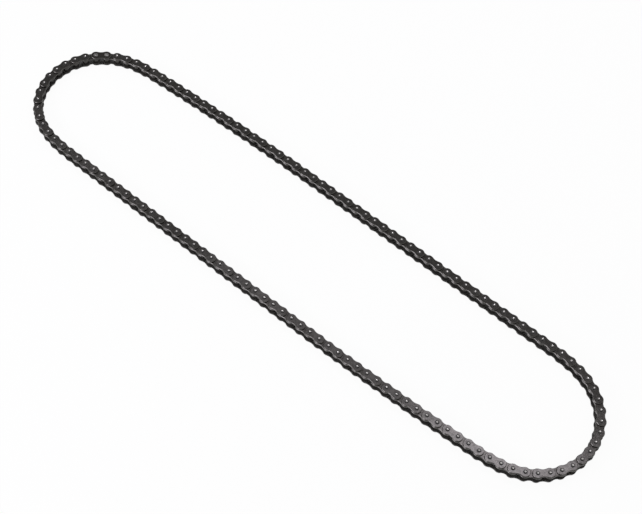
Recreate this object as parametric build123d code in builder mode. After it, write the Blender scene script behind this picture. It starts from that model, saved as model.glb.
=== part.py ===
# Closed loop of single-strand roller chain, 12.7 mm pitch, lying on its side with its pins upright.
# Millimetres. The loop's long axis is X, its pins run along Z, and the origin is the centre of its
# footprint at the level of the lower pin ends. Pins and links are numbered from 0 clockwise, seen
# from above; link i joins pin i to pin i + 1, even links are outer ones and odd links inner ones.
from build123d import *
from math import cos, radians, sin
import os

# Chain size
pitch = 12.7
half_links = 66
inner_width = 6.25
plate_thickness = 1.5
side_play = 0.1

# Pins, bushes and rollers
pin_diameter = 3.96
pin_length = 14.7
pin_chamfer = 0.35
pin_play = 0.05
bush_wall = 0.72
roller_play = 0.06
roller_wall = 1.075
roller_end_play = 0.1
roller_chamfer = 0.3

# Side plates: height over the round heads and across the waist
outer_plate_height = 11.0
outer_plate_waist = 8.3
inner_plate_height = 11.8
inner_plate_waist = 8.9

# Connecting link: stouter plates, and pins with wide riveted heads
connecting_plate_height = 11.6
connecting_plate_waist = 9.4
rivet_head_diameter = 5.4
rivet_head_height = 0.9

# How each end turns through half a turn: pins before pin 0, pins that turn less and less at
# either side, pins that turn fully, and pins of the run beyond that turn by a small share
bend_lead_count = 15
bend_ramp_in_count = 5
bend_full_count = 13
bend_ramp_out_count = 4
run_bow_count = 18
run_bow_share = 0.02

# Links in the long stretches that turn as one piece; run_b takes what is left
run_a_links = 25
bend_links = 10
entry_links = 3
middle_links = 3
exit_links = 3
run_b_links = half_links - run_a_links - bend_links - entry_links - middle_links - exit_links

# Worked out from the sizes above
mid_height = pin_length / 2
inner_plate_face = inner_width / 2
outer_plate_face = inner_plate_face + plate_thickness + side_play
outer_plate_top = outer_plate_face + plate_thickness
connecting_pin_length = 2 * (outer_plate_top + rivet_head_height)
bush_bore = pin_diameter + 2 * pin_play
bush_diameter = bush_bore + 2 * bush_wall
bush_length = inner_width + 2 * plate_thickness
roller_bore = bush_diameter + 2 * roller_play
roller_diameter = roller_bore + 2 * roller_wall
roller_length = inner_width - 2 * roller_end_play


def pin_turns():
    """Degrees that the chain turns at each pin of half the loop; they add up to half a turn."""
    first = half_links - bend_lead_count
    ramp_in = [(k + 1) / (bend_ramp_in_count + 1) for k in range(bend_ramp_in_count)]
    ramp_out = [1 - (k + 1) / (bend_ramp_out_count + 1) for k in range(bend_ramp_out_count)]
    shares = ramp_in + [1] * bend_full_count + ramp_out + [run_bow_share] * run_bow_count
    turns = [0.0] * half_links
    for k, share in enumerate(shares):
        turns[(first + k) % half_links] = 180 * share / sum(shares)
    return turns


def lay_out_loop():
    """Pin centres and link headings of the closed loop, centred on the origin."""
    turns = pin_turns() * 2
    heading = sum(turns[: half_links // 2])
    points = [(0.0, 0.0)]
    headings = []
    for turn in turns:
        heading -= turn
        headings.append(heading)
        x, y = points[-1]
        points.append((x + pitch * cos(radians(heading)), y + pitch * sin(radians(heading))))
    points.pop()
    centre_x = sum(x for x, y in points) / len(points)
    centre_y = sum(y for x, y in points) / len(points)
    return [(x - centre_x, y - centre_y) for x, y in points], headings


pin_points, link_headings = lay_out_loop()
pin_count = len(pin_points)


def pin_place(pin):
    """Where a pin, bush or roller stands, at half height."""
    x, y = pin_points[pin % pin_count]
    return Location((x, y, mid_height), (0, 0, link_headings[pin % pin_count]))


def link_place(link):
    """The middle of a link at half height, turned along it."""
    x1, y1 = pin_points[link % pin_count]
    x2, y2 = pin_points[(link + 1) % pin_count]
    return Location(((x1 + x2) / 2, (y1 + y2) / 2, mid_height), (0, 0, link_headings[link % pin_count]))


def plate_outline(height, waist, hole):
    """Side plate: two round heads joined by a waist, with a hole at each pin."""
    head = height / 2
    half_pitch = pitch / 2
    half_waist = waist / 2
    waist_radius = (half_pitch**2 + half_waist**2 - head**2) / (height - waist)
    reach = head / (head + waist_radius)
    join_x = half_pitch * (1 - reach)
    join_y = (half_waist + waist_radius) * reach
    with BuildSketch() as outline:
        with BuildLine():
            ThreePointArc((-join_x, join_y), (0, half_waist), (join_x, join_y))
            ThreePointArc((join_x, join_y), (half_pitch + head, 0), (join_x, -join_y))
            ThreePointArc((join_x, -join_y), (0, -half_waist), (-join_x, -join_y))
            ThreePointArc((-join_x, -join_y), (-half_pitch - head, 0), (-join_x, join_y))
        make_face()
        with Locations((-half_pitch, 0), (half_pitch, 0)):
            Circle(hole / 2, mode=Mode.SUBTRACT)
    return outline.sketch


def plate_pair(outline, inner_face):
    """The upper and lower plate of one link, about half height."""
    with BuildPart() as pair:
        for level in (inner_face, -inner_face - plate_thickness):
            with BuildSketch(Plane.XY.offset(level)):
                add(outline)
            extrude(amount=plate_thickness)
    return pair.part


def riveted_pin(length, head_diameter):
    """One pin about half height; heads wider than the shank seat on the outer plates."""
    with BuildPart() as pin:
        Cylinder(pin_diameter / 2, length)
        if head_diameter > pin_diameter:
            head_height = length / 2 - outer_plate_top
            head_middle = outer_plate_top + head_height / 2
            with Locations((0, 0, head_middle), (0, 0, -head_middle)):
                Cylinder(head_diameter / 2, head_height)
        rims = pin.edges().filter_by(GeomType.CIRCLE).group_by(Axis.Z)
        chamfer(rims[0] + rims[-1], pin_chamfer)
    return pin.part


def bush():
    """One bush about half height."""
    with BuildPart() as tube:
        with BuildSketch(Plane.XY.offset(-bush_length / 2)):
            Circle(bush_diameter / 2)
            Circle(bush_bore / 2, mode=Mode.SUBTRACT)
        extrude(amount=bush_length)
    return tube.part


def roller():
    """One roller about half height, with its outer rims broken."""
    with BuildPart() as tube:
        with BuildSketch(Plane.XY.offset(-roller_length / 2)):
            Circle(roller_diameter / 2)
            Circle(roller_bore / 2, mode=Mode.SUBTRACT)
        extrude(amount=roller_length)
        rims = tube.edges().filter_by(GeomType.CIRCLE).sort_by(SortBy.RADIUS)[-2:]
        chamfer(rims, roller_chamfer)
    return tube.part


outer_outline = plate_outline(outer_plate_height, outer_plate_waist, pin_diameter)
inner_outline = plate_outline(inner_plate_height, inner_plate_waist, bush_diameter)
connecting_outline = plate_outline(connecting_plate_height, connecting_plate_waist, pin_diameter)
outer_plates = plate_pair(outer_outline, outer_plate_face)
inner_plates = plate_pair(inner_outline, inner_plate_face)
connecting_plates = plate_pair(connecting_outline, outer_plate_face)
chain_pin = riveted_pin(pin_length, pin_diameter)
connecting_pin = riveted_pin(connecting_pin_length, rivet_head_diameter)
chain_bush = bush()
chain_roller = roller()


def placed(piece, places):
    """Copies of a piece, each a solid of its own, one at each place."""
    with BuildPart() as group:
        with Locations(*places):
            add(piece)
    return group.part


def save(name, *groups):
    """Write one node: a single solid, or a group of separate ones."""
    solids = [solid for group in groups for solid in group.solids()]
    node = Compound(children=solids) if len(solids) > 1 else solids[0]
    node.label = name
    export_step(node, f"parts/{name}.step")


def outer_links(first, last):
    return [link for link in range(first, last) if link % 2 == 0]


def inner_links(first, last):
    return [link for link in range(first, last) if link % 2 == 1]


def ends_of(links):
    return [pin for link in links for pin in (link, link + 1)]


def stretch(name, first, last):
    """A long stretch of chain: plates, pins, bushes and rollers, one node for each kind."""
    outers = outer_links(first, last)
    inners = inner_links(first, last)
    save(f"{name}_outer_plates", placed(outer_plates, [link_place(i) for i in outers]))
    save(f"{name}_inner_plates", placed(inner_plates, [link_place(i) for i in inners]))
    save(f"{name}_pins", placed(chain_pin, [pin_place(i) for i in ends_of(outers)]))
    save(f"{name}_bushes", placed(chain_bush, [pin_place(i) for i in ends_of(inners)]))
    save(f"{name}_rollers", placed(chain_roller, [pin_place(i) for i in ends_of(inners)]))


def outer_link(name, link):
    """One outer link: two plates riveted on two pins."""
    plates = placed(outer_plates, [link_place(link)])
    pins = placed(chain_pin, [pin_place(i) for i in ends_of([link])])
    save(name, plates, pins)


def inner_link(name, link, rollers_turn):
    """One inner link: two plates pressed on two bushes, and its two rollers."""
    plates = placed(inner_plates, [link_place(link)])
    bushes = placed(chain_bush, [pin_place(i) for i in ends_of([link])])
    save(name, plates, bushes)
    if rollers_turn:
        for letter, pin in zip("ab", ends_of([link])):
            save(f"{name}_roller_{letter}", placed(chain_roller, [pin_place(pin)]))
    else:
        save(f"{name}_rollers", placed(chain_roller, [pin_place(i) for i in ends_of([link])]))


def connecting_link(name, link):
    """The link that closes the loop: its two plates are nodes of their own, and so are its pins."""
    plates = placed(connecting_plates, [link_place(link)]).solids().sort_by(Axis.Z)
    save(f"{name}_lower_plate", plates[0])
    save(f"{name}_upper_plate", plates[1])
    save(f"{name}_pins", placed(connecting_pin, [pin_place(i) for i in ends_of([link])]))


def half_loop(side, bend, first):
    """The stretches and single links from one end of the loop to the other."""
    entry = first
    run_a = entry + entry_links
    middle = run_a + run_a_links
    run_b = middle + middle_links
    exit_ = run_b + run_b_links
    turn = exit_ + exit_links
    if first == 0:
        connecting_link("connecting_link", entry)
    else:
        outer_link(f"{side}_entry_outer_link_a", entry)
    inner_link(f"{side}_entry_inner_link", entry + 1, rollers_turn=(first == 0))
    outer_link(f"{side}_entry_outer_link_b", entry + 2)
    stretch(f"{side}_run_a", run_a, middle)
    outer_link(f"{side}_middle_outer_link_a", middle)
    inner_link(f"{side}_middle_inner_link", middle + 1, rollers_turn=(first > 0))
    outer_link(f"{side}_middle_outer_link_b", middle + 2)
    stretch(f"{side}_run_b", run_b, exit_)
    inner_link(f"{side}_exit_inner_link_a", exit_, rollers_turn=False)
    outer_link(f"{side}_exit_outer_link", exit_ + 1)
    inner_link(f"{side}_exit_inner_link_b", exit_ + 2, rollers_turn=False)
    stretch(bend, turn, turn + bend_links)


os.makedirs("parts", exist_ok=True)
half_loop("back", "right_bend", 0)
half_loop("front", "left_bend", half_links)
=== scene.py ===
import math

import bmesh
import bpy
from mathutils import Matrix, Quaternion, Vector


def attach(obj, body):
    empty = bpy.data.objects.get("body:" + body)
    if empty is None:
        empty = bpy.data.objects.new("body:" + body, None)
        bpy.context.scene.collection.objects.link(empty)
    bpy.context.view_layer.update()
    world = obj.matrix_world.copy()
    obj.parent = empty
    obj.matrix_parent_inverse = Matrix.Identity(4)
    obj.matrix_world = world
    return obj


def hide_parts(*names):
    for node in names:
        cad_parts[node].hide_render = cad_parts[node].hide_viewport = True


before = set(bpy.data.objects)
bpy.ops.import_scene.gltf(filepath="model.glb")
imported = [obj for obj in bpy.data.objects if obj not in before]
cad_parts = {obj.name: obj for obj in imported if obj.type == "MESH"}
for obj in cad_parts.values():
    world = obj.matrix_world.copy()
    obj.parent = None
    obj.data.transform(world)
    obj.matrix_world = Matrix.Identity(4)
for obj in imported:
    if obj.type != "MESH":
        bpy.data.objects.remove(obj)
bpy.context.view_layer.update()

mm = 0.001

# Chain sizes, the same as those of the solids
pitch = 12.7 * mm
half_links = 66
plate_thickness = 1.5 * mm
inner_plate_face = 3.125 * mm
outer_plate_face = 4.725 * mm
outer_plate_height = 11.0 * mm
outer_plate_waist = 8.3 * mm
inner_plate_height = 11.8 * mm
inner_plate_waist = 8.9 * mm
connecting_plate_height = 11.6 * mm
connecting_plate_waist = 9.4 * mm
pin_diameter = 3.96 * mm
pin_length = 14.7 * mm
rivet_head_diameter = 5.4 * mm
rivet_head_height = 0.9 * mm
bush_bore = 4.06 * mm
bush_diameter = 5.5 * mm
bush_length = 9.25 * mm
roller_bore = 5.62 * mm
roller_diameter = 7.77 * mm
roller_length = 6.05 * mm

# How each end turns through half a turn: pins before pin 0, pins that turn less and less at
# either side, pins that turn fully, and pins of the run beyond that turn by a small share
bend_lead_count = 15
bend_ramp_in_count = 5
bend_full_count = 13
bend_ramp_out_count = 4
run_bow_count = 18
run_bow_share = 0.02

# Stretches of half the loop that move as one piece, in order, with their number of links
half_loop_stretches = (
    ("entry_outer_link_a", 1), ("entry_inner_link", 1), ("entry_outer_link_b", 1), ("run_a", 25),
    ("middle_outer_link_a", 1), ("middle_inner_link", 1), ("middle_outer_link_b", 1), ("run_b", 22),
    ("exit_inner_link_a", 1), ("exit_outer_link", 1), ("exit_inner_link_b", 1), ("bend", 10),
)

# Finishing detail: drops and depth are measured down from the top of a pin
plate_rim = 0.45 * mm
pin_face_radius = 1.4 * mm
pin_shoulder_radius = 1.72 * mm
shoulder_drop = 0.18 * mm
rim_drop = 0.55 * mm
# The punch mark's faces take a pale steel that is a painted glint on each pin end
punch_floor_radius = 0.35 * mm
punch_radius = 0.9 * mm
punch_depth = 0.2 * mm
rivet_head_rim = 0.6 * mm
roller_rim = 0.45 * mm
# A round dark patch about each pin on the outer plates: partly grease, partly painted shade where
# pin and plate meet
grease_and_shade_diameter = 5.1 * mm

# Facets of each arc and of each turned shape; a ring on a plate has as many as a bush
waist_steps = 2
head_steps = 6
pin_steps = 12
connecting_pin_steps = 16
bush_steps = 12
roller_steps = 14

# Tolerances: points this close are merged, places this close count as the same, a normal that
# rises less than this is a wall's, and faces within this many degrees are shaded as one
merge_distance = 0.001 * mm
slack = 0.1 * mm
wall_slope = 0.1
smooth_angle = 35

mid_height = pin_length / 2
half_pitch = pitch / 2
outer_plate_top = outer_plate_face + plate_thickness
plate_floor = -plate_thickness / 2
plate_centres = [Vector((-half_pitch, 0, plate_floor)), Vector((half_pitch, 0, plate_floor))]


# The loop's layout

def pin_turns():
    """Degrees that the chain turns at each pin of half the loop."""
    first = half_links - bend_lead_count
    ramp_in = [(k + 1) / (bend_ramp_in_count + 1) for k in range(bend_ramp_in_count)]
    ramp_out = [1 - (k + 1) / (bend_ramp_out_count + 1) for k in range(bend_ramp_out_count)]
    shares = ramp_in + [1] * bend_full_count + ramp_out + [run_bow_share] * run_bow_count
    turns = [0.0] * half_links
    for k, share in enumerate(shares):
        turns[(first + k) % half_links] = 180 * share / sum(shares)
    return turns


def lay_out_loop():
    """Pin centres and link headings of the closed loop, centred on the origin."""
    turns = pin_turns() * 2
    heading = sum(turns[: half_links // 2])
    points = [Vector((0, 0, mid_height))]
    headings = []
    for turn in turns:
        heading -= turn
        angle = math.radians(heading)
        headings.append(angle)
        points.append(points[-1] + pitch * Vector((math.cos(angle), math.sin(angle), 0)))
    points.pop()
    centre = sum(points, Vector()) / len(points)
    centre.z = 0
    return [point - centre for point in points], headings


pin_points, link_headings = lay_out_loop()
pin_count = len(pin_points)


def pin_place(pin):
    """Where a pin, bush or roller stands, at half height."""
    turn = Matrix.Rotation(link_headings[pin % pin_count], 4, "Z")
    return Matrix.Translation(pin_points[pin % pin_count]) @ turn


def link_place(link):
    """The middle of a link at half height, turned along it."""
    middle = (pin_points[link % pin_count] + pin_points[(link + 1) % pin_count]) / 2
    return Matrix.Translation(middle) @ Matrix.Rotation(link_headings[link % pin_count], 4, "Z")


# Shapes, each made once about its own middle

def as_mesh(bm, name):
    """A mesh of that name, made from the bmesh, which is freed."""
    mesh = bpy.data.meshes.new(name)
    bm.to_mesh(mesh)
    bm.free()
    return mesh


def finished(bm, name, *groups):
    """The mesh of a shape, faces outwards; each group of faces takes the next material in turn."""
    bmesh.ops.recalc_face_normals(bm, faces=bm.faces)
    for index, faces in enumerate(groups, start=1):
        for face in faces:
            face.material_index = index
    return as_mesh(bm, name)


def plate_outline(bm, height, waist):
    """Draw a plate's figure of eight: one quarter by two tangent arcs, then mirrored both ways."""
    head = height / 2
    half_waist = waist / 2
    waist_radius = (half_pitch**2 + half_waist**2 - head**2) / (height - waist)
    waist_angle = math.atan2(half_pitch, half_waist + waist_radius)
    start = bm.verts.new((0, half_waist, plate_floor))
    waist_arc = bmesh.ops.spin(
        bm, geom=[start], cent=(0, half_waist + waist_radius, plate_floor), axis=(0, 0, 1),
        angle=waist_angle, steps=waist_steps,
    )
    join = [item for item in waist_arc["geom_last"] if isinstance(item, bmesh.types.BMVert)]
    bmesh.ops.spin(
        bm, geom=join, cent=(half_pitch, 0, plate_floor), axis=(0, 0, 1),
        angle=-math.pi / 2 - waist_angle, steps=head_steps,
    )
    for axis in "XY":
        bmesh.ops.mirror(
            bm, geom=bm.verts[:] + bm.edges[:], axis=axis, merge_dist=merge_distance,
        )


def from_centre(point):
    """How far a point of a plate lies from the nearer of its two pins, seen from above."""
    return min((point - centre).xy.length for centre in plate_centres)


def is_wall(face):
    """Whether a face stands upright, so that its normal is level."""
    return abs(face.normal.z) < wall_slope


def side_plate(name, height, waist, hole=0, grease=0):
    """Plate lying flat, its upper rim rounded by the blanking punch.

    An inner plate has a hole for each bush. The plates that are riveted on their pins are whole
    there instead, and the outer ones have a round dark patch about each pin, partly grease and
    partly painted shade where pin and plate meet.
    """
    bm = bmesh.new()
    plate_outline(bm, height, waist)
    ring = max(hole, grease) / 2
    if ring:
        for centre in plate_centres:
            bmesh.ops.create_circle(
                bm, cap_ends=grease > 0, segments=bush_steps, radius=ring,
                matrix=Matrix.Translation(centre),
            )
    bmesh.ops.triangle_fill(bm, edges=bm.edges[:], use_beauty=True, use_dissolve=True)
    extruded = bmesh.ops.extrude_face_region(bm, geom=bm.faces[:])
    raised = [item for item in extruded["geom"] if isinstance(item, bmesh.types.BMVert)]
    bmesh.ops.translate(bm, verts=raised, vec=(0, 0, plate_thickness))
    bm.normal_update()
    outer = [vert for vert in raised if from_centre(vert.co) > ring + slack]
    upper_edges = [
        edge for edge in bm.edges
        if all(vert in outer for vert in edge.verts)
        and any(is_wall(face) for face in edge.link_faces)
    ]
    # The rounded rims take a paler steel: partly wear, partly a painted sheen that draws a light
    # line along the edges
    rims = bmesh.ops.bevel(
        bm, geom=upper_edges, offset=plate_rim, offset_type="OFFSET", affect="EDGES", segments=1,
        profile=0.5, material=-1, clamp_overlap=True,
    )
    walls = [face for face in bm.faces if is_wall(face)]
    inner_side = []
    grease_shade_faces = []
    for face in bm.faces:
        middle = face.calc_center_median()
        if middle.z < plate_floor + slack:
            inner_side.append(face)
        # The dark patch about each pin: partly grease, partly painted shade where the pin meets the
        # plate
        elif grease and middle.z > 0 and from_centre(middle) < slack:
            grease_shade_faces.append(face)
    return finished(bm, name, rims["faces"], walls, inner_side, grease_shade_faces)


def reach(face):
    """How far a face reaches from the Z axis."""
    return max(vert.co.xy.length for vert in face.verts)


def turned(name, profile, steps, hollow, painted_glint_radius=0, grease_shade_radius=math.inf):
    """A shape turned about Z from a profile of (radius, height) points, as on a lathe.

    Faces within the painted glint radius take the second material, and those that reach past the
    radius of grease and painted shade the third.
    """
    bm = bmesh.new()
    verts = [bm.verts.new((radius, 0, height)) for radius, height in profile]
    ends = zip(verts, verts[1:] + verts[:1]) if hollow else zip(verts, verts[1:])
    edges = [bm.edges.new(pair) for pair in ends]
    bmesh.ops.spin(
        bm, geom=verts + edges, cent=(0, 0, 0), axis=(0, 0, 1), angle=2 * math.pi,
        steps=steps, use_merge=True,
    )
    if not hollow:
        rings = [edge for edge in bm.edges if edge.is_boundary]
        bmesh.ops.holes_fill(bm, edges=rings, sides=steps)
    bright = [face for face in bm.faces if reach(face) < painted_glint_radius + slack]
    grease_shade_rim_faces = [face for face in bm.faces if reach(face) > grease_shade_radius + slack]
    return finished(bm, name, bright, grease_shade_rim_faces)


def both_ends(upper):
    """A profile's upper half and its mirror image below."""
    return upper + [(radius, -height) for radius, height in reversed(upper)]


def bore_corners(bore, steps):
    """How far out a faceted bore's corners lie, so that its flats clear the round thing in it."""
    return bore / 2 / math.cos(math.pi / steps)


def riveted_pin():
    """Pin with rounded ends, each with a small pale punch mark that is a painted glint, and dark
    grease round its rim that is partly painted shade.
    """
    top = pin_length / 2
    upper = [
        (punch_floor_radius, top - punch_depth), (punch_radius, top), (pin_face_radius, top),
        (pin_shoulder_radius, top - shoulder_drop), (pin_diameter / 2, top - rim_drop),
    ]
    return turned(
        "pin_shape", both_ends(upper), pin_steps, hollow=False,
        painted_glint_radius=punch_radius, grease_shade_radius=pin_face_radius,
    )


def headed_pin():
    """Connecting pin: a shank with wide, low riveted heads."""
    radius = rivet_head_diameter / 2
    top = outer_plate_top + rivet_head_height
    upper = [
        (pin_face_radius, top), (radius - rivet_head_rim, top - shoulder_drop),
        (radius, top - rim_drop), (radius, outer_plate_top), (pin_diameter / 2, outer_plate_top),
    ]
    return turned("connecting_pin_shape", both_ends(upper), connecting_pin_steps, hollow=False)


def bush():
    """Plain bush, its ends flush with the inner plates."""
    top = bush_length / 2
    upper = [(bore_corners(bush_bore, bush_steps), top), (bush_diameter / 2, top)]
    return turned("bush_shape", both_ends(upper), bush_steps, hollow=True)


def roller():
    """Roller with rounded rims."""
    radius = roller_diameter / 2
    top = roller_length / 2
    bore = bore_corners(roller_bore, roller_steps)
    upper = [(bore, top), (radius - roller_rim, top), (radius, top - roller_rim)]
    return turned("roller_shape", both_ends(upper), roller_steps, hollow=True)


# Materials

# Patterns in the steel: spots to the metre, layers of finer detail, and the weight of those
mottle_pattern = (260, 4, 0.5)
film_pattern = (45, 2, 0.5)
scuff_pattern = (900, 5, 0.7)
smear_pattern = (420, 3, 0.5)
grain_pattern = (2600, 3, 0.6)

# The values of each pattern between which its effect builds up
mottle_span = (0.3, 0.7)
film_span = (0.35, 0.65)
scuff_span = (0.50, 0.75)
smear_span = (0.35, 0.7)

# What the effects come to
film_tone = 0.8
deepest_scuff = 0.7
mottle_relief = 0.04 * mm
grain_relief = 0.012 * mm
relief_strength = 0.5
oil_weight = 0.1
oil_roughness = 0.12


def grey(value):
    return (value, value, value)


def noise(tree, coordinates, pattern):
    """The value of a pattern at the coordinates."""
    node = tree.nodes.new("ShaderNodeTexNoise")
    for socket, value in zip(("Scale", "Detail", "Roughness"), pattern):
        node.inputs[socket].default_value = value
    tree.links.new(coordinates, node.inputs["Vector"])
    return node.outputs["Fac"]


def ramp(tree, value, span, low, high):
    """The low colour up to the start of the span, the high one from its end."""
    node = tree.nodes.new("ShaderNodeValToRGB")
    for stop, position, colour in zip(node.color_ramp.elements, span, (low, high)):
        stop.position = position
        stop.color = (*colour, 1)
    tree.links.new(value, node.inputs["Fac"])
    return node.outputs["Color"]


def dimmed(tree, tone, film):
    """The tone of the steel, darker where the film over it is dark."""
    node = tree.nodes.new("ShaderNodeMix")
    node.data_type = "RGBA"
    node.blend_type = "MULTIPLY"
    node.inputs["Factor"].default_value = 1.0
    tree.links.new(tone, node.inputs["A"])
    tree.links.new(film, node.inputs["B"])
    return node.outputs["Result"]


def worn(tree, share, base, colour):
    """The base colour, rubbed down to another colour where the share is high."""
    node = tree.nodes.new("ShaderNodeMix")
    node.data_type = "RGBA"
    tree.links.new(share, node.inputs["Factor"])
    tree.links.new(base, node.inputs["A"])
    node.inputs["B"].default_value = (*colour, 1)
    return node.outputs["Result"]


def bumped(tree, height, relief, below=None):
    """A bump of the given relief, on top of another one."""
    node = tree.nodes.new("ShaderNodeBump")
    node.inputs["Strength"].default_value = relief_strength
    node.inputs["Distance"].default_value = relief
    tree.links.new(height, node.inputs["Height"])
    if below is not None:
        tree.links.new(below, node.inputs["Normal"])
    return node.outputs["Normal"]


def oiled_steel(name, dark, pale, scuffed, roughness, bare=1.0):
    """Dark steel under a thin, uneven film of oil, with a rolled grain, small scuffs and pits.

    Its roughness varies between two values. Less than fully bare, it lies under dull grease.
    """
    material = bpy.data.materials.new(name)
    material.use_nodes = True
    tree = material.node_tree
    shader = tree.nodes["Principled BSDF"]
    coordinates = tree.nodes.new("ShaderNodeTexCoord").outputs["Object"]
    mottle = noise(tree, coordinates, mottle_pattern)
    film = noise(tree, coordinates, film_pattern)
    scuffs = noise(tree, coordinates, scuff_pattern)
    smears = noise(tree, coordinates, smear_pattern)
    grain = noise(tree, coordinates, grain_pattern)
    tone = ramp(tree, mottle, mottle_span, dark, pale)
    colour = dimmed(tree, tone, ramp(tree, film, film_span, grey(film_tone), grey(1)))
    rubbed = ramp(tree, scuffs, scuff_span, grey(0), grey(deepest_scuff))
    tree.links.new(worn(tree, rubbed, colour, scuffed), shader.inputs["Base Color"])
    smoothest, roughest = roughness
    gloss = ramp(tree, smears, smear_span, grey(smoothest), grey(roughest))
    tree.links.new(gloss, shader.inputs["Roughness"])
    waves = bumped(tree, mottle, mottle_relief)
    tree.links.new(bumped(tree, grain, grain_relief, waves), shader.inputs["Normal"])
    shader.inputs["Metallic"].default_value = bare
    shader.inputs["Coat Weight"].default_value = oil_weight
    shader.inputs["Coat Roughness"].default_value = oil_roughness
    return material


plate_steel = oiled_steel(
    "oiled_plate_steel", dark=(0.020, 0.0185, 0.017), pale=(0.034, 0.032, 0.030),
    scuffed=(0.060, 0.057, 0.054), roughness=(0.14, 0.22),
)
inner_steel = oiled_steel(
    "oiled_inner_plate_steel", dark=(0.017, 0.0155, 0.014), pale=(0.028, 0.026, 0.024),
    scuffed=(0.050, 0.047, 0.044), roughness=(0.15, 0.24),
)
# Paler rims: partly wear, and partly a painted sheen that puts a light line along the plate edges
worn_edge_and_sheen_steel = oiled_steel(
    "worn_plate_edge_and_painted_sheen", dark=(0.045, 0.043, 0.040), pale=(0.085, 0.081, 0.076),
    scuffed=(0.15, 0.144, 0.136), roughness=(0.22, 0.30),
)
wall_steel = oiled_steel(
    "sheared_plate_wall", dark=(0.018, 0.0165, 0.0145), pale=(0.036, 0.033, 0.029),
    scuffed=(0.07, 0.066, 0.06), roughness=(0.34, 0.46), bare=0.6,
)
# The plates' inner sides, facing the gap, are lighter and duller than their tops: partly grease,
# partly painted light that lifts the shade in the gap
inner_side_grease_and_light_steel = oiled_steel(
    "greasy_inner_side_painted_light", dark=(0.022, 0.0205, 0.0185), pale=(0.042, 0.0395, 0.036),
    scuffed=(0.07, 0.066, 0.06), roughness=(0.40, 0.55), bare=0.1,
)
joint_steel = oiled_steel(
    "connecting_plate_steel", dark=(0.021, 0.019, 0.0165), pale=(0.027, 0.025, 0.022),
    scuffed=(0.04, 0.038, 0.034), roughness=(0.16, 0.20),
)
pin_steel = oiled_steel(
    "oiled_pin_steel", dark=(0.038, 0.036, 0.033), pale=(0.056, 0.053, 0.049),
    scuffed=(0.09, 0.086, 0.08), roughness=(0.14, 0.20),
)
# Dark steel round the pins and on their rims: partly grease, partly painted shade where pin and
# plate meet
grease_shade_steel = oiled_steel(
    "grease_and_painted_shade_about_the_pin", dark=(0.012, 0.011, 0.010), pale=(0.024, 0.022, 0.020),
    scuffed=(0.04, 0.038, 0.035), roughness=(0.32, 0.42), bare=0.4,
)
# Painted glint: the punch mark is pale so that every pin end shows a glint under any light
punch_mark_glint_steel = oiled_steel(
    "punch_mark_painted_glint", dark=(0.26, 0.252, 0.243), pale=(0.39, 0.38, 0.365),
    scuffed=(0.46, 0.45, 0.435), roughness=(0.18, 0.26),
)
dull_pin_steel = oiled_steel(
    "dull_rivet_steel", dark=(0.09, 0.087, 0.083), pale=(0.16, 0.156, 0.149),
    scuffed=(0.21, 0.205, 0.196), roughness=(0.30, 0.40),
)
bush_steel = oiled_steel(
    "bush_steel", dark=(0.03, 0.028, 0.025), pale=(0.05, 0.047, 0.043),
    scuffed=(0.08, 0.076, 0.07), roughness=(0.25, 0.35),
)
roller_steel = oiled_steel(
    "roller_steel", dark=(0.025, 0.023, 0.020), pale=(0.048, 0.045, 0.040),
    scuffed=(0.09, 0.085, 0.078), roughness=(0.20, 0.30), bare=0.5,
)

# The materials of a shape, in the order of its groups of faces
outer_plate_steels = [plate_steel, worn_edge_and_sheen_steel, wall_steel, inner_side_grease_and_light_steel, grease_shade_steel]
inner_plate_steels = [inner_steel, worn_edge_and_sheen_steel, wall_steel, inner_side_grease_and_light_steel]
connecting_plate_steels = [joint_steel, worn_edge_and_sheen_steel, wall_steel, inner_side_grease_and_light_steel]
pin_steels = [pin_steel, punch_mark_glint_steel, grease_shade_steel]


# Pieces: each rigid stretch gets its plates, pins, bushes and rollers

outer_plate_shape = side_plate(
    "outer_plate_shape", outer_plate_height, outer_plate_waist, grease=grease_and_shade_diameter)
inner_plate_shape = side_plate(
    "inner_plate_shape", inner_plate_height, inner_plate_waist, hole=bush_diameter)
connecting_plate_shape = side_plate(
    "connecting_plate_shape", connecting_plate_height, connecting_plate_waist)
pin_shape = riveted_pin()
connecting_pin_shape = headed_pin()
bush_shape = bush()
roller_shape = roller()


def lifted(place, rise):
    """The same place, higher by the rise, or lower where that is negative."""
    return Matrix.Translation((0, 0, rise)) @ place


def plate_places(links, inner_face):
    """The lower and the upper plate of each link, each with its rounded rim outwards."""
    rise = inner_face + plate_thickness / 2
    over = Matrix.Rotation(math.pi, 4, "X")
    places = []
    for link in links:
        places += [lifted(link_place(link), -rise) @ over, lifted(link_place(link), rise)]
    return places


def pins_of(links):
    """Where the two pins of each link stand."""
    return [pin_place(pin) for link in links for pin in (link, link + 1)]


def dress(name, shape, places, materials, body, node):
    """One piece: a copy of the shape at each place, instead of the plain solids of a node."""
    bm = bmesh.new()
    for place in places:
        before = len(bm.verts)
        bm.from_mesh(shape)
        bm.verts.ensure_lookup_table()
        bmesh.ops.transform(bm, matrix=place, verts=bm.verts[before:])
    mesh = as_mesh(bm, name)
    mesh.polygons.foreach_set("use_smooth", [True] * len(mesh.polygons))
    mesh.set_sharp_from_angle(angle=math.radians(smooth_angle))
    for material in materials:
        mesh.materials.append(material)
    piece = bpy.data.objects.new(name, mesh)
    bpy.context.scene.collection.objects.link(piece)
    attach(piece, body)
    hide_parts(node)


def dress_outer(body, plate_node, pin_node, links):
    dress(f"{body}_outer_plate_set", outer_plate_shape, plate_places(links, outer_plate_face),
          outer_plate_steels, body, plate_node)
    dress(f"{body}_pin_set", pin_shape, pins_of(links), pin_steels, body, pin_node)


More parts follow.
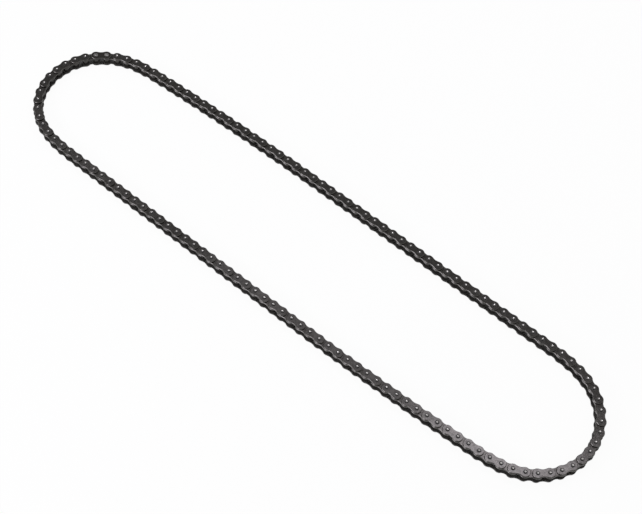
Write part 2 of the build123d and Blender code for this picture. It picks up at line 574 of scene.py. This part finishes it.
def dress_inner(body, plate_node, bush_node, links):
    dress(f"{body}_inner_plate_set", inner_plate_shape, plate_places(links, inner_plate_face),
          inner_plate_steels, body, plate_node)
    dress(f"{body}_bush_set", bush_shape, pins_of(links), [bush_steel], body, bush_node)


def dress_rollers(name, node, body, places):
    dress(name, roller_shape, places, [roller_steel], body, node)


def dress_connecting_link(body, link):
    lower, upper = plate_places([link], outer_plate_face)
    for side, place in (("lower", lower), ("upper", upper)):
        dress(f"{body}_{side}_side_plate", connecting_plate_shape, [place],
              connecting_plate_steels, body, f"{body}_{side}_plate")
    dress(f"{body}_pin_pair", connecting_pin_shape, pins_of([link]), [dull_pin_steel],
          body, f"{body}_pins")


def dress_stretch(body, links):
    """Dress one rigid stretch; even links are outer ones and odd links inner ones."""
    outers = [link for link in links if link % 2 == 0]
    inners = [link for link in links if link % 2 == 1]
    if body == "connecting_link":
        dress_connecting_link(body, links[0])
    elif len(links) > 1:
        dress_outer(body, f"{body}_outer_plates", f"{body}_pins", outers)
        dress_inner(body, f"{body}_inner_plates", f"{body}_bushes", inners)
        dress_rollers(f"{body}_roller_set", f"{body}_rollers", body, pins_of(inners))
    elif outers:
        dress_outer(body, body, body, outers)
    elif f"{body}_rollers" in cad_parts:
        dress_inner(body, body, body, inners)
        dress_rollers(f"{body}_roller_set", f"{body}_rollers", body, pins_of(inners))
    else:
        dress_inner(body, body, body, inners)
        for letter, place in zip("ab", pins_of(inners)):
            node = f"{body}_roller_{letter}"
            dress_rollers(f"{node}_turning", node, node, [place])


def dress_loop():
    """Dress every stretch, clockwise from the connecting link, which is the first of all links."""
    link = 0
    for side, bend in (("back", "right_bend"), ("front", "left_bend")):
        for name, count in half_loop_stretches:
            body = bend if name == "bend" else f"{side}_{name}"
            if link == 0:
                body = "connecting_link"
            dress_stretch(body, list(range(link, link + count)))
            link += count


dress_loop()


# Floor, light and camera: metres, but the lens and sensor in millimetres and the roll in degrees

floor_half_size = 6
floor_grey = 0.85
floor_glow_share = 0.95
world_light = 0.45
lamp_colour = (0.93, 0.91, 1.0)
camera_place = Vector((0.4539, -0.6522, 1.2156))
camera_aim = Vector((0.0197, 0.0089, 0.0))
camera_roll = 7.2
camera_lens = 73.36
camera_sensor = 36
camera_nearest = 0.01


def seen_directly(tree):
    """One for rays from the camera and for those that gloss or glass sends on."""
    path = tree.nodes.new("ShaderNodeLightPath")
    total = path.outputs["Is Camera Ray"]
    for name in ("Is Glossy Ray", "Is Transmission Ray"):
        add = tree.nodes.new("ShaderNodeMath")
        add.operation = "ADD"
        add.use_clamp = True
        tree.links.new(total, add.inputs[0])
        tree.links.new(path.outputs[name], add.inputs[1])
        total = add.outputs[0]
    return total


def floor_material():
    """White where it is seen, with a share of plain diffuse floor that keeps a faint shadow."""
    material = bpy.data.materials.new("pale_floor")
    material.use_nodes = True
    tree = material.node_tree
    tree.nodes.clear()
    diffuse = tree.nodes.new("ShaderNodeBsdfDiffuse")
    diffuse.inputs["Color"].default_value = (*grey(floor_grey), 1)
    glow = tree.nodes.new("ShaderNodeEmission")
    share = tree.nodes.new("ShaderNodeMath")
    share.operation = "MULTIPLY"
    share.inputs[1].default_value = floor_glow_share
    tree.links.new(seen_directly(tree), share.inputs[0])
    mix = tree.nodes.new("ShaderNodeMixShader")
    tree.links.new(share.outputs[0], mix.inputs["Fac"])
    tree.links.new(diffuse.outputs[0], mix.inputs[1])
    tree.links.new(glow.outputs[0], mix.inputs[2])
    output = tree.nodes.new("ShaderNodeOutputMaterial")
    tree.links.new(mix.outputs[0], output.inputs["Surface"])
    return material


def pale_floor():
    """A plain floor under the chain."""
    bm = bmesh.new()
    bmesh.ops.create_grid(bm, x_segments=1, y_segments=1, size=floor_half_size)
    mesh = as_mesh(bm, "floor")
    mesh.materials.append(floor_material())
    floor = bpy.data.objects.new("floor", mesh)
    bpy.context.scene.collection.objects.link(floor)


def studio_world():
    """White where it is seen, and a plain grey light elsewhere."""
    world = bpy.data.worlds.new("studio")
    bpy.context.scene.world = world
    world.use_nodes = True
    tree = world.node_tree
    background = tree.nodes["Background"]
    background.inputs["Color"].default_value = (1, 1, 1, 1)
    strength = tree.nodes.new("ShaderNodeMapRange")
    strength.inputs["To Min"].default_value = world_light
    strength.inputs["To Max"].default_value = 1
    tree.links.new(seen_directly(tree), strength.inputs["Value"])
    tree.links.new(strength.outputs["Result"], background.inputs["Strength"])


def soft_box(name, place, aim, width, depth, power):
    """A rectangular lamp that faces its aim, with its power in watts."""
    light = bpy.data.lights.new(name, "AREA")
    light.color = lamp_colour
    light.shape = "RECTANGLE"
    light.size = width
    light.size_y = depth
    light.energy = power
    lamp = bpy.data.objects.new(name, light)
    lamp.location = place
    lamp.rotation_mode = "QUATERNION"
    lamp.rotation_quaternion = (Vector(aim) - Vector(place)).to_track_quat("-Z", "Y")
    bpy.context.scene.collection.objects.link(lamp)


def soft_boxes():
    """The lamps: three high up that face straight down, and one low in front.

    The key box mirrors in the plates at the right of the front run and the side box in those of
    its middle. The left box mirrors in rounded pin ends alone, and the front box in rims and walls.
    """
    soft_box("key_box", place=(0.175, 0.50, 1.20), aim=(0.175, 0.50, 0.0),
             width=0.33, depth=0.26, power=2.8)
    soft_box("side_box", place=(-0.29, 0.50, 1.20), aim=(-0.29, 0.50, 0.0),
             width=0.6, depth=0.26, power=0.9)
    soft_box("front_box", place=(-0.45, -1.15, 0.73), aim=(0.0, 0.0, 0.0),
             width=1.6, depth=0.35, power=12)
    soft_box("left_box", place=(-0.88, 0.27, 1.20), aim=(-0.88, 0.27, 0.0),
             width=0.35, depth=0.16, power=3)


def photo_camera():
    """The photograph's view of the loop, from above its near side."""
    lens = bpy.data.cameras.new("camera")
    lens.sensor_width = camera_sensor
    lens.lens = camera_lens
    lens.clip_start = camera_nearest
    camera = bpy.data.objects.new("camera", lens)
    bpy.context.scene.collection.objects.link(camera)
    camera.location = camera_place
    camera.rotation_mode = "QUATERNION"
    roll = Quaternion((0, 0, 1), math.radians(camera_roll))
    camera.rotation_quaternion = (camera_aim - camera_place).to_track_quat("-Z", "Y") @ roll
    bpy.context.scene.camera = camera


pale_floor()
studio_world()
soft_boxes()
photo_camera()
bpy.context.scene.view_settings.view_transform = "Standard"
